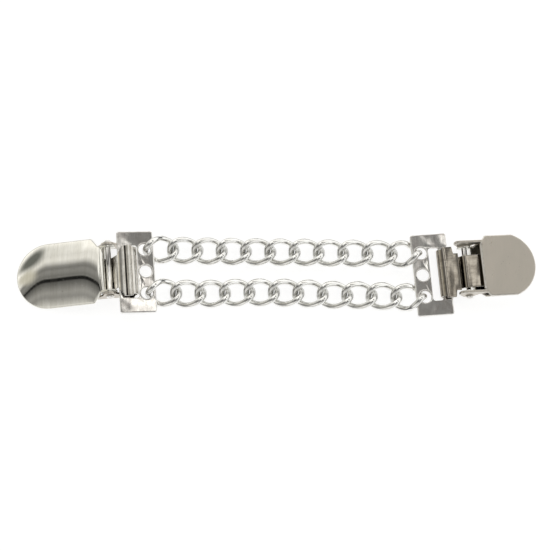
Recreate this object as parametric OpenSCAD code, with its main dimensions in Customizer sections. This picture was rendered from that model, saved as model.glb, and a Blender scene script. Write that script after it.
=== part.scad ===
// Sweater clip: two strands of curb chain between two slotted plates, with a lever clip at each end.
// Millimetres. X runs along the clip, Y across it, Z up from the surface it lies on.
// The left clip lies front up, the right clip back up.

/* [Chain] */
// Number of links in each of the two strands
link_count = 11; // [7:1:11]
// Distance from one link to the next
link_pitch = 7.6; // [7:0.1:8.2]
// Wire thickness of a link
link_wire = 1.85; // [1.7:0.05:1.85]
// Outer width of a link across the strand
link_wid = 8.6; // [8.4:0.02:9.2]
// Twist of each end of a link
link_twist = 45; // [42:1:48]

/* [Slot plates] */
// Length of a slot plate across the clip
plate_len = 26.2; // [24:0.2:32]
// Sheet thickness of a slot plate
plate_thk = 1.1; // [1:0.05:1.1]
// Corner radius of a slot plate
plate_corner = 0.8; // [0.4:0.1:1.4]
// Diameter of the three holes
hole_d = 3.7; // [3.7:0.05:4]
// Distance from one hole to the next
hole_pitch = 6.95; // [6.8:0.05:8]
// Hole centres from the chain edge
hole_inset = 2.95; // [2.8:0.05:3.1]
// Metal between a hole and the slot
hole_land = 0.55; // [0.5:0.05:1]
// Width of the burr round a hole
burr_wid = 0.4; // [0.25:0.05:0.45]
// Height of the burr round a hole
burr_h = 0.2; // [0.1:0.05:0.25]
// Width of the outer rail that carries the spring strip
rail_wid = 3; // [2.6:0.1:3.2]

/* [Spring strip] */
// Thickness of the strip
strip_thk = 0.5; // [0.4:0.05:0.6]
// Width of the strip between the ears
throat_wid = 10.3; // [10:0.1:10.4]
// Width of the strip's short leaf at its free end
leaf_wid = 11.8; // [11:0.1:11.8]
// Width of the strip at its two wings
wing_wid = 16.2; // [15.6:0.1:16.6]
// Width of the strip where it loops through the slot
loop_wid = 15; // [13:0.1:15.4]
// How far the rail can slide inside the loop
loop_slide = 2.3; // [2:0.1:2.4]
// Width of the jaw end
jaw_wid = 9; // [8:0.1:9.2]
// Pin axis to the jaw teeth
jaw_reach = 16.6; // [15:0.1:16.8]
// Number of teeth on the jaw
tooth_count = 6; // [4:1:8]

/* [Back plate] */
// Width of the back plate
back_wid = 19.4; // [18.8:0.1:20]
// Pin axis to the tip of the back plate
back_reach = 21.1; // [20.8:0.1:22]
// Radius of the back plate's round end
back_end_r = 10.3; // [10.1:0.1:11]
// Sheet thickness of the back plate and its ears
back_thk = 0.8; // [0.6:0.05:0.9]

/* [Cover] */
// Width of the front-up cover
cover_wid = 20.9; // [19.8:0.1:21]
// Pin axis to the tip of the front-up cover
cover_reach = 29.6; // [27:0.1:29.6]
// Width of the cover that is hidden under the other clip
under_wid = 18.2; // [17.6:0.1:18.6]
// Pin axis to the tip of the hidden cover
under_reach = 21; // [20.6:0.1:21.2]
// Radius of the cover's crown, across it
crown_r = 26; // [24:0.5:34]
// Depth of the cover from crown to rim
cover_depth = 2.9; // [2.6:0.05:2.95]
// Sheet thickness of the cover and its ears
cover_thk = 0.7; // [0.6:0.05:0.8]
// Slope of the closed cover against the back plate
cover_slope = 7.5; // [7:0.1:7.6]

/* [Pivot pin] */
// Diameter of the pin
pin_d = 1.8; // [1.6:0.05:1.9]
// Height of the pin axis above the back plate's underside
pin_h = 4.4; // [4.3:0.05:4.6]
// Diameter of the pin's domed heads
head_d = 2.6; // [2.3:0.1:3]
// Height of a domed head
head_h = 0.9; // [0.6:0.05:1.1]

/* [Layout] */
// Turn of the left plate and clip in plan
left_turn = 4.9; // [0:0.1:8]
// Turn of the right plate and clip in plan
right_turn = 4.5; // [0:0.1:8]
// How much nearer the front the right plate lies
right_drop = 1.1; // [0:0.1:2]
// How far the left clip's ears are slid along its pin, past the strip
left_slide = 1.45; // [0:0.05:1.5]
// How far the right clip's ears are slid along its pin, past the strip
right_slide = 0.8; // [0:0.05:1.5]
// Height of the holes of the left plate above the surface
left_hole_h = 3.45; // [3.4:0.01:3.7]
// Height of the holes of the right plate above the surface
right_hole_h = 2.95; // [2.9:0.01:3.2]

/* [Hidden] */
$fn = 64;

// Clearances
link_gap = 0.22;
slot_gap = 0.3;
slot_end_gap = 0.15;
loop_gap = 0.13;
ear_gap = 0.1;
throat_gap = 1.6;
pin_fit = 0.05;
trough_gap = 0.1;
tooth_gap = 0.15;
lip_gap = 0.2;
lap = 0.05;

// How far each link lies from the straight line between its two holes, from left to right
upper_sway = [0.3, 0.2, 0.1, 0.1, 0.1, 0.1, 0.1, 0, 0, 0, -0.1];
lower_sway = [0.3, 0.2, 0.3, 0.7, 0.9, 0.9, 0.7, 0.4, 0.4, 0.2, -0.1];

// Links
link_a = (link_pitch + link_wire + link_gap) / 2;
link_b = (link_wid - link_wire) / 2;
link_steps = 16;
wire_sides = 6;
link_lie = 2.19;
// End links: drawn out of the hole centre, lifted, dipped, rolled and turned to clear the plate
end_pull = 0.3;
end_dip = 8;
left_end_lie = 2.74;
left_end_roll = 9.7;
left_end_turn = 3.6;
left_end_twist = 71.5;
right_end_lie = 2.69;
right_end_roll = -1;
right_end_turn = 1.1;
right_end_twist = 80;

// Spring strip loop and the slot it passes through
loop_in_r = norm([rail_wid, plate_thk]) / 2 + loop_gap;
loop_out_r = loop_in_r + strip_thk;
slot_len = wing_wid + 2 * slot_gap;
slot_wid = loop_slide + loop_out_r - rail_wid / 2 + slot_end_gap;
slot_x = hole_d / 2 + hole_land;
plate_wid = hole_inset + slot_x + slot_wid + rail_wid;
rail_x = slot_x + slot_wid + rail_wid / 2;

// Stations along the strip, from the pin axis
pin_to_loop = 6.65;
loop_h = pin_h + 0.8;
throat_start = 3;
wing_taper = 4.75;
wing_start = 4.1;
wing_end = 7.3;
rear_end = 2.6;
jaw_slope = 3.5;
jaw_drop = 0.5;

// Ears, from the strip outwards
cover_ear_y = throat_wid / 2 + throat_gap;
cover_neck_y = cover_ear_y + cover_thk;
back_ear_y = cover_neck_y + ear_gap;
back_side_y = back_ear_y + back_thk;
shank_y = back_side_y + pin_fit;

// Cover
crown_h = 2.65;
rim_h = crown_h - cover_depth;
neck_x = pin_d / 2 + lip_gap;
lip_low = -0.7;
roll_r = 1.6;
shoulder_in = 2.9;
shoulder_out = 5.1;
cover_lug_r = 1.9;

// Back plate
back_neck_x = 3.9;
back_shoulder_x = 5.6;
back_neck_y = 7.1;
back_lug_r = 2.1;

// Where the two plates stand
left_rail_h = loop_h;
left_tilt = asin((left_rail_h - left_hole_h) / rail_x);
flip_h = pin_h * cos(cover_slope) + crown_h;
right_rail_h = flip_h + pin_to_loop * sin(cover_slope) - loop_h * cos(cover_slope);
right_tilt = asin((right_rail_h - right_hole_h) / rail_x);
hole_span = (link_count - 1) * link_pitch + 2 * (link_a + end_pull);
left_rail_s = pin_to_loop - loop_slide;
right_rail_s = pin_to_loop * cos(cover_slope) + loop_h * sin(cover_slope);

// Plan positions before the whole is centred on its own box
function turned(v, a) = [v.x * cos(a) - v.y * sin(a), v.x * sin(a) + v.y * cos(a)];
left_hole_raw = [0, 0];
right_hole_raw = [hole_span, -right_drop];
left_rail_raw = left_hole_raw + turned([-rail_x * cos(left_tilt), 0], left_turn);
right_rail_raw = right_hole_raw + turned([rail_x * cos(right_tilt), 0], right_turn);
left_pin_raw = left_rail_raw + turned([-left_rail_s, left_slide], left_turn);

// Ends and sides of the box round the whole clip
left_cap = left_pin_raw + turned([-(cover_reach - cover_wid / 2) * cos(cover_slope), 0], left_turn);
left_end = left_cap.x - cover_wid / 2 * norm([cos(cover_slope) * cos(left_turn), sin(left_turn)]);
right_cap = right_rail_raw
    + turned([right_rail_s + (back_reach - back_end_r) * cos(cover_slope), right_slide], right_turn);
right_end = right_cap.x + back_end_r * norm([cos(cover_slope) * cos(right_turn), sin(right_turn)]);
plate_corners = [
    for (q = [-1, 1], p = [-hole_inset, plate_wid - hole_inset]) each [
        (left_hole_raw + turned([-p * cos(left_tilt), q * plate_len / 2], left_turn)).y,
        (right_hole_raw + turned([p * cos(right_tilt), q * plate_len / 2], right_turn)).y
    ]
];
centre = [(left_end + right_end) / 2, (min(plate_corners) + max(plate_corners)) / 2];
left_hole = left_hole_raw - centre;
right_hole = right_hole_raw - centre;
left_rail = left_rail_raw - centre;
right_rail = right_rail_raw - centre;

function link_name(strand, i) = str(strand, "_link_", i < 10 ? "0" : "", i);

// Centres of the hole that each strand starts and ends in; side is 1 for the upper strand, -1 for the lower
function start_hole(side) = concat(left_hole + turned([0, side * hole_pitch], left_turn), left_hole_h);
function end_hole(side) = concat(right_hole + turned([0, side * hole_pitch], right_turn), right_hole_h);

// Centre of link i of a strand, counted from 0
function link_centre(side, i) =
    let (a = start_hole(side), b = end_hole(side))
    let (step = (b.x - a.x - 2 * (link_a + end_pull)) / (link_count - 1))
    let (x = a.x + link_a + end_pull + i * step)
    let (share = (x - a.x) / (b.x - a.x))
    let (sway = side > 0 ? upper_sway[i] : lower_sway[i])
    let (z = i == 0 ? left_end_lie : i == link_count - 1 ? right_end_lie : link_lie)
    [x, a.y + (b.y - a.y) * share + sway, z];

// Roll, dip and turn of link i: the end links slope up to the plates, the others lie along their neighbours
function link_angles(side, i) =
    i == 0 ? [left_end_roll, end_dip, left_end_turn] :
    i == link_count - 1 ? [right_end_roll, -end_dip, right_end_turn] :
    let (before = link_centre(side, i - 1), after = link_centre(side, i + 1))
    [0, 0, atan2(after.y - before.y, after.x - before.x)];

// A point on the centre line of a twisted link, and the normal of its twisted plane there
function link_phi(c, left, right) = c < 0 ? -c * left : -c * right;
function link_point(u, left, right) =
    let (phi = link_phi(cos(u), left, right))
    [link_a * cos(u), link_b * sin(u) * cos(phi), link_b * sin(u) * sin(phi)];
function link_normal(u, left, right) =
    let (phi = link_phi(cos(u), left, right))
    [0, -sin(phi), cos(phi)];
function unit(v) = v / norm(v);
function link_ring(u, left, right) =
    let (p = link_point(u, left, right))
    let (along = unit(link_point(u + 1, left, right) - link_point(u - 1, left, right)))
    let (out = unit(cross(along, link_normal(u, left, right))))
    let (up = cross(out, along))
    [for (j = [0:wire_sides - 1])
        let (w = 360 * j / wire_sides)
        p + link_wire / 2 * (out * cos(w) + up * sin(w))];

module twisted_link(left, right) {
    points = [for (i = [0:link_steps - 1]) each link_ring(360 * i / link_steps, left, right)];
    quads = [for (i = [0:link_steps - 1], j = [0:wire_sides - 1])
        let (k = (i + 1) % link_steps, m = (j + 1) % wire_sides)
        [i * wire_sides + j, k * wire_sides + j, k * wire_sides + m, i * wire_sides + m]];
    faces = [for (q = quads) each [[q[0], q[1], q[2]], [q[0], q[2], q[3]]]];
    polyhedron(points, faces, convexity = 4);
}

module chain_link(side, number) {
    i = number - 1;
    color("silver")
        translate(link_centre(side, i))
        rotate(link_angles(side, i))
        twisted_link(i == 0 ? left_end_twist : link_twist, i == link_count - 1 ? right_end_twist : link_twist);
}

// Rectangle with round corners, from its low corner
module rounded_rect(size, r) {
    translate([r, 0]) square([size.x - 2 * r, size.y]);
    translate([0, r]) square([size.x, size.y - 2 * r]);
    for (x = [r, size.x - r], y = [r, size.y - r])
        translate([x, y]) circle(r);
}

// Slot plate about the middle hole, with the clip on its +X side
module slot_plate() {
    color("gainsboro")
    difference() {
        union() {
            translate([-hole_inset, -plate_len / 2, -plate_thk / 2])
                linear_extrude(plate_thk) rounded_rect([plate_wid, plate_len], plate_corner);
            for (q = [-1:1])
                translate([0, q * hole_pitch, 0])
                    cylinder(r = hole_d / 2 + burr_wid, h = plate_thk / 2 + burr_h);
        }
        for (q = [-1:1])
            translate([0, q * hole_pitch, -plate_thk])
                cylinder(d = hole_d, h = 2 * plate_thk + burr_h);
        translate([slot_x, -slot_len / 2, -plate_thk])
            linear_extrude(2 * plate_thk + burr_h) rounded_rect([slot_wid, slot_len], slot_wid / 4);
    }
}

// Straight bar of sheet along the middle line between two points, a hair thinner and lapped into its neighbours
module bar(from, to, thk) {
    run = to - from;
    translate(from) rotate(atan2(run.y, run.x)) translate([-lap, lap / 10 - thk / 2])
        square([norm(run) + 2 * lap, thk - lap / 5]);
}

// Bend of sheet about a centre, from one angle to a larger one
module bend(centre, r, thk, from, to) {
    far = 4 * r;
    translate(centre) intersection() {
        difference() {
            circle(r + thk / 2);
            circle(r - thk / 2);
        }
        polygon([
            [0, 0],
            far * [cos(from), sin(from)],
            far * [cos((from + to) / 2), sin((from + to) / 2)],
            far * [cos(to), sin(to)]
        ]);
    }
}

module capsule(r, length) {
    circle(r);
    translate([length, 0]) circle(r);
    translate([0, -r]) square([length, 2 * r]);
}

// Sheet of each profile in turn, centred across the clip
module sheet(wid) {
    for (k = [0:$children - 1])
        rotate([90, 0, 0]) translate([0, 0, -wid / 2]) linear_extrude(wid) children(k);
}

// Half of the outline of the strip's long leaf in plan, from the loop to the jaw
strip_plan = [
    [-pin_to_loop - loop_out_r - 1, loop_wid / 2], [-wing_end, loop_wid / 2],
    [-wing_end, wing_wid / 2], [-wing_taper, wing_wid / 2],
    [-throat_start, throat_wid / 2], [jaw_reach / 2, throat_wid / 2],
    [jaw_reach + 1, jaw_wid / 2]
];

// Strip in the clip's frame: X towards the jaw from the pin axis, Z up from the back plate's underside
module spring_strip() {
    trough = [0, pin_h];
    trough_r = pin_d / 2 + trough_gap + strip_thk / 2;
    fold = [loop_slide - pin_to_loop, loop_h];
    fold_r = loop_in_r + strip_thk / 2;
    reach = trough - fold;
    // Direction of the leaf where it crosses from over the rail to under the pin
    fall = atan2(reach.y, reach.x) - asin((fold_r + trough_r) / norm(reach));
    top = fold + fold_r * [-sin(fall), cos(fall)];
    foot = trough - trough_r * [-sin(fall), cos(fall)];
    leave = 270 - jaw_slope;
    out = trough + trough_r * [cos(leave), sin(leave)];
    jaw = out + (jaw_reach - lap - out.x) * [1, -tan(jaw_slope)];
    lip_h = back_thk + tooth_gap;
    tooth_wid = jaw_wid / tooth_count;
    color("lightgray")
    difference() {
        union() {
            intersection() {
                sheet(wing_wid) {
                    // Loop round the rail
                    difference() {
                        translate([-pin_to_loop, loop_h]) capsule(loop_out_r, loop_slide);
                        translate([-pin_to_loop, loop_h]) capsule(loop_in_r, loop_slide);
                        translate([fold.x, loop_h - loop_out_r - 1]) square([loop_out_r + 1, 2 * loop_out_r + 2]);
                    }
                    // Long leaf: over the rail, down to the trough under the pin and out to the jaw
                    bend(fold, fold_r, strip_thk, 90 + fall, 90);
                    bar(top, foot, strip_thk);
                    bend(trough, trough_r, strip_thk, 270 + fall, leave);
                    bar(out, jaw, strip_thk);
                    // Turned-down lip for the teeth
                    translate([jaw_reach - strip_thk, lip_h]) square([strip_thk, jaw.y - lip_h]);
                }
                linear_extrude(3 * pin_h) polygon(concat(
                    strip_plan,
                    [for (k = [len(strip_plan) - 1:-1:0]) [strip_plan[k].x, -strip_plan[k].y]]
                ));
            }
            // Short leaf with the free end
            sheet(wing_wid) translate([-wing_taper - lap, loop_h - loop_out_r])
                square([wing_taper + lap - wing_start, strip_thk]);
            sheet(leaf_wid) translate([-wing_taper, loop_h - loop_out_r])
                square([wing_taper - rear_end, strip_thk]);
        }
        for (k = [0:tooth_count])
            translate([jaw_reach - 1, (k - tooth_count / 2) * tooth_wid, back_thk])
                rotate([90, 0, 90]) linear_extrude(2)
                polygon([[-tooth_wid / 2, 0], [0, tooth_gap + jaw_drop], [tooth_wid / 2, 0]]);
    }
}

// Both ears of a piece: a profile in X and Z, at y and its mirror image
module ear_pair(y, thk) {
    for (side = [-1, 1])
        translate([0, side * (y + thk / 2) + thk / 2, 0]) rotate([90, 0, 0]) linear_extrude(thk) children();
}

module back_ear() {
    difference() {
        union() {
            translate([0, pin_h]) circle(back_lug_r);
            polygon([
                [7.6, 0], [7.6, back_thk], [2.9, 2.9], [2.08, pin_h], [1.2, pin_h + 1.7], [-1.9, pin_h + 0.9],
                [-3.7, 2.6], [-3.7, 0.8], [-2.9, 0]
            ]);
        }
        translate([0, pin_h]) circle(pin_d / 2 + pin_fit);
    }
}

module back_plate() {
    cap_x = back_reach - back_end_r;
    color("darkgray")
    union() {
        linear_extrude(back_thk) intersection() {
            polygon([
                [back_neck_x, back_neck_y], [back_shoulder_x, back_wid / 2], [back_reach + 1, back_wid / 2],
                [back_reach + 1, -back_wid / 2], [back_shoulder_x, -back_wid / 2], [back_neck_x, -back_neck_y]
            ]);
            union() {
                translate([cap_x, 0]) circle(back_end_r, $fn = 128);
                translate([0, -back_wid / 2]) square([cap_x, back_wid]);
            }
        }
        ear_pair(back_ear_y, back_thk) back_ear();
    }
}

module pivot_pin() {
    ball_r = (pow(head_d / 2, 2) + pow(head_h, 2)) / (2 * head_h);
    color("silver")
    translate([0, 0, pin_h]) {
        rotate([90, 0, 0]) cylinder(d = pin_d, h = 2 * shank_y, center = true);
        for (side = [-1, 1])
            rotate([-90 * side, 0, 0]) translate([0, 0, shank_y]) intersection() {
                translate([0, 0, head_h - ball_r]) sphere(ball_r);
                cylinder(r = head_d, h = head_h + 1);
            }
    }
}

// Cross-section of the dome: X across, Y up
module dome_section(half, top, r, low) {
    intersection() {
        translate([0, top - r]) circle(r, $fn = 128);
        translate([-half, low]) square([2 * half, top - low]);
    }
}

// Solid under the cover's surface, set in from it by inset and cut off at low
module dome_bulk(half, reach, inset, low) {
    cap_x = reach - half;
    slant = atan2(half - cover_neck_y, shoulder_out - shoulder_in);
    shift = inset * tan(slant / 2);
    top = crown_h - inset;
    start = neck_x + inset;
    intersection() {
        rotate([90, 0, 90]) linear_extrude(cap_x) dome_section(half - inset, top, crown_r - inset, low);
        translate([0, 0, low]) linear_extrude(top - low) polygon([
            [start, cover_neck_y - inset], [shoulder_in + shift, cover_neck_y - inset],
            [shoulder_out + shift, half - inset], [cap_x, half - inset],
            [cap_x, inset - half], [shoulder_out + shift, inset - half],
            [shoulder_in + shift, inset - cover_neck_y], [start, inset - cover_neck_y]
        ]);
        rotate([90, 0, 0]) translate([0, 0, -half]) linear_extrude(2 * half) union() {
            translate([neck_x + roll_r, crown_h - roll_r]) circle(roll_r - inset);
            translate([start, low]) square([cap_x - start, crown_h - roll_r - low]);
            translate([neck_x + roll_r, low]) square([cap_x - neck_x - roll_r, top - low]);
        }
    }
    translate([cap_x, 0, 0]) rotate([0, 0, -90]) rotate_extrude(angle = 180) intersection() {
        dome_section(half - inset, top, crown_r - inset, low);
        translate([0, low]) square([half, top - low]);
    }
}

module cover_ear() {
    difference() {
        union() {
            circle(cover_lug_r);
            polygon([
                [-2.2, -0.9], [-2.2, 1], [-1, 1.5], [neck_x + 0.4, 1.5], [shoulder_in, 1.2],
                [shoulder_in, rim_h], [1.5, -1.5], [0, -cover_lug_r]
            ]);
        }
        circle(pin_d / 2 + pin_fit);
    }
}

// Cover in the closed position, hinged on the pin and sloping down to its tip
module cover(wid, reach) {
    color("lightgray")
    translate([0, 0, pin_h]) rotate([0, cover_slope, 0])
    union() {
        difference() {
            dome_bulk(wid / 2, reach, 0, rim_h);
            dome_bulk(wid / 2, reach, cover_thk, rim_h - 1);
        }
        translate([neck_x, -cover_ear_y - cover_thk / 2, lip_low])
            cube([cover_thk, 2 * cover_ear_y + cover_thk, crown_h - roll_r - lip_low]);
        ear_pair(cover_ear_y, cover_thk) cover_ear();
    }
}

// Left clip lies on its back plate
module on_left_clip() {
    translate([left_rail.x, left_rail.y, 0]) rotate([0, 0, 180 + left_turn])
        translate([left_rail_s, 0, 0]) children();
}

// Right clip lies on its cover's crown
module on_right_clip() {
    translate([right_rail.x, right_rail.y, 0]) rotate([0, 0, right_turn])
        translate([right_rail_s, 0, flip_h]) rotate([0, cover_slope, 0]) rotate([180, 0, 0]) children();
}

// Slid along the pin towards the back of the layout
module slid(by) {
    translate([0, -by, 0]) children();
}

module left_slot_plate() {
    translate([left_hole.x, left_hole.y, left_hole_h]) rotate([0, -left_tilt, 180 + left_turn]) slot_plate();
}

module right_slot_plate() {
    translate([right_hole.x, right_hole.y, right_hole_h]) rotate([0, -right_tilt, right_turn]) slot_plate();
}

left_slot_plate();
right_slot_plate();
on_left_clip() spring_strip();  // left_spring_strip
on_left_clip() slid(left_slide) back_plate();  // left_back_plate
on_left_clip() slid(left_slide) pivot_pin();  // left_pivot_pin
on_left_clip() slid(left_slide) cover(cover_wid, cover_reach);  // left_cover
on_right_clip() spring_strip();  // right_spring_strip
on_right_clip() slid(right_slide) back_plate();  // right_back_plate
on_right_clip() slid(right_slide) pivot_pin();  // right_pivot_pin
on_right_clip() slid(right_slide) cover(under_wid, under_reach);  // right_cover
for (i = [1:link_count]) {
    chain_link(1, i);
    chain_link(-1, i);
}
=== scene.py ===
"""Sweater clip: two strands of curb chain between slotted plates, with a lever clip at each end.

Shapes are drawn in millimetres in the frame of the clip, plate or link that they belong to, and placed in
the part's own frame in metres.
"""
from __future__ import annotations

import logging
import math
from bisect import bisect_right
from dataclasses import dataclass, replace
from enum import Enum
from functools import cache, reduce
from typing import Iterable, Sequence

import bpy
from mathutils import Euler, Matrix, Vector
from mathutils.geometry import tessellate_polygon


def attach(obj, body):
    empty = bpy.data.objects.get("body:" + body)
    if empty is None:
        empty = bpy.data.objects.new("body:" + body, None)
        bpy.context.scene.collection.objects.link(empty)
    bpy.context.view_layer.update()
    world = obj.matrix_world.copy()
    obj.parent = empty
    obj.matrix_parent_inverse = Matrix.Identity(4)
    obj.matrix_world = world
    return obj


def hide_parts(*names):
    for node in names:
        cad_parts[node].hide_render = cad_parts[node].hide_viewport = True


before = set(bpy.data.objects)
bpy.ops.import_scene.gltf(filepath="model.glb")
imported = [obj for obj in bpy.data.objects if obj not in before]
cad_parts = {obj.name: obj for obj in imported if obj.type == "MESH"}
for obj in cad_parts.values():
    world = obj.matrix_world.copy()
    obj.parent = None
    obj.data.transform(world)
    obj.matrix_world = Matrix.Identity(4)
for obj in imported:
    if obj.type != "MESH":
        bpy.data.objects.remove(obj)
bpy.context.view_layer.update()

log = logging.getLogger("sweater_clip")

Point = tuple[float, float]
Triple = tuple[float, float, float]
Material = bpy.types.Material
NodeTree = bpy.types.NodeTree
Object = bpy.types.Object
Socket = bpy.types.NodeSocket
MM = 0.001
CHAIN_BODY = "chain_and_plates"
NEARLY_STRAIGHT = math.radians(89)


def turn(axis: str, degrees: float) -> Matrix:
    """Rotation matrix about one axis, from degrees."""
    return Matrix.Rotation(math.radians(degrees), 4, axis)


def quarter(steps: int) -> list[float]:
    """Angles of a quarter turn in radians, both ends included."""
    return [math.pi / 2 * k / steps for k in range(steps + 1)]


# Outlines


def arc(centre: Point, radius: float, start: float, end: float, step: float = 0.15,
        count: int = 0) -> list[Point]:
    """Points along a circular arc.

    Args:
        centre: Centre of the arc.
        radius: Its radius.
        start: First angle in degrees.
        end: Last angle in degrees.
        step: Longest distance between two points.
        count: Number of steps, where the distance doesn't decide it.

    Returns:
        The points, both ends included.
    """
    count = count or max(2, math.ceil(abs(math.radians(end - start)) * radius / step))
    angles = [math.radians(start + (end - start) * k / count) for k in range(count + 1)]
    return [(centre[0] + radius * math.cos(a), centre[1] + radius * math.sin(a)) for a in angles]


def rounded_corners(corners: Sequence[Triple], step: float = 0.15, count: int = 0) -> list[Point]:
    """Closed outline with each corner rounded by its own radius.

    Args:
        corners: Corner points and radii, counter-clockwise, or clockwise for a hole.
        step: Longest distance between two points of a rounding.
        count: Number of steps of each rounding, where the distance doesn't decide it.

    Returns:
        The outline's points.
    """
    outline: list[Point] = []
    for k, (x, y, radius) in enumerate(corners):
        here = Vector((x, y))
        before = (Vector(corners[k - 1][:2]) - here).normalized()
        after = (Vector(corners[(k + 1) % len(corners)][:2]) - here).normalized()
        half = before.angle(after) / 2
        if radius <= 0 or half > NEARLY_STRAIGHT:
            outline.append((x, y))
            continue
        centre = here + (before + after).normalized() * radius / math.sin(half)
        first = here + before * radius / math.tan(half) - centre
        sweep = (math.pi - 2 * half) * (1 if before.cross(after) < 0 else -1)
        steps = count or max(2, math.ceil(abs(sweep) * radius / step))
        for j in range(steps + 1):
            a = sweep * j / steps
            outline.append((centre.x + first.x * math.cos(a) - first.y * math.sin(a),
                            centre.y + first.x * math.sin(a) + first.y * math.cos(a)))
    return outline


def resampled(outline: Sequence[Point], step: float, guide: Sequence[Point] = ()) -> list[Point]:
    """Closed outline whose long straight stretches are divided.

    Args:
        outline: The outline.
        step: Longest distance between two points.
        guide: Outline of as many points whose stretches decide the divisions instead.

    Returns:
        The divided outline.
    """
    points: list[Point] = []
    guide = guide or outline
    for k, (x, y) in enumerate(outline):
        nx, ny = outline[(k + 1) % len(outline)]
        count = max(1, math.ceil(math.dist(guide[k], guide[(k + 1) % len(guide)]) / step))
        points += [(x + (nx - x) * j / count, y + (ny - y) * j / count) for j in range(count)]
    return points


def inset(outline: Sequence[Point], depths: Sequence[float]) -> list[Point]:
    """Outline moved into the metal, which lies on the left of its direction.

    Args:
        outline: Closed outline.
        depths: How far each point moves.

    Returns:
        The moved points.
    """
    moved = []
    for k, (x, y) in enumerate(outline):
        before = (Vector((x, y)) - Vector(outline[k - 1])).normalized()
        after = (Vector(outline[(k + 1) % len(outline)]) - Vector((x, y))).normalized()
        left = Vector((-before.y - after.y, before.x + after.x))
        scale = 2 * depths[k] / max(left.length_squared, 0.5)
        moved.append((x + left.x * scale, y + left.y * scale))
    return moved


def convex_outline(points: Iterable[Point]) -> list[Point]:
    """Convex outline of some points.

    Args:
        points: The points, in any order.

    Returns:
        The outline, counter-clockwise.
    """
    ordered = sorted(set((round(x, 5), round(y, 5)) for x, y in points))

    def half(run: Iterable[Point]) -> list[Point]:
        """One chain of the outline.

        Args:
            run: The points from one side to the other.

        Returns:
            The chain without its last point.
        """
        chain: list[Point] = []
        for p in run:
            while len(chain) > 1:
                (ax, ay), (bx, by) = chain[-2], chain[-1]
                if (bx - ax) * (p[1] - ay) - (by - ay) * (p[0] - ax) > 1e-9:
                    break
                chain.pop()
            chain.append(p)
        return chain[:-1]

    return half(ordered) + half(reversed(ordered))


# Mesh drafting


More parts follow.
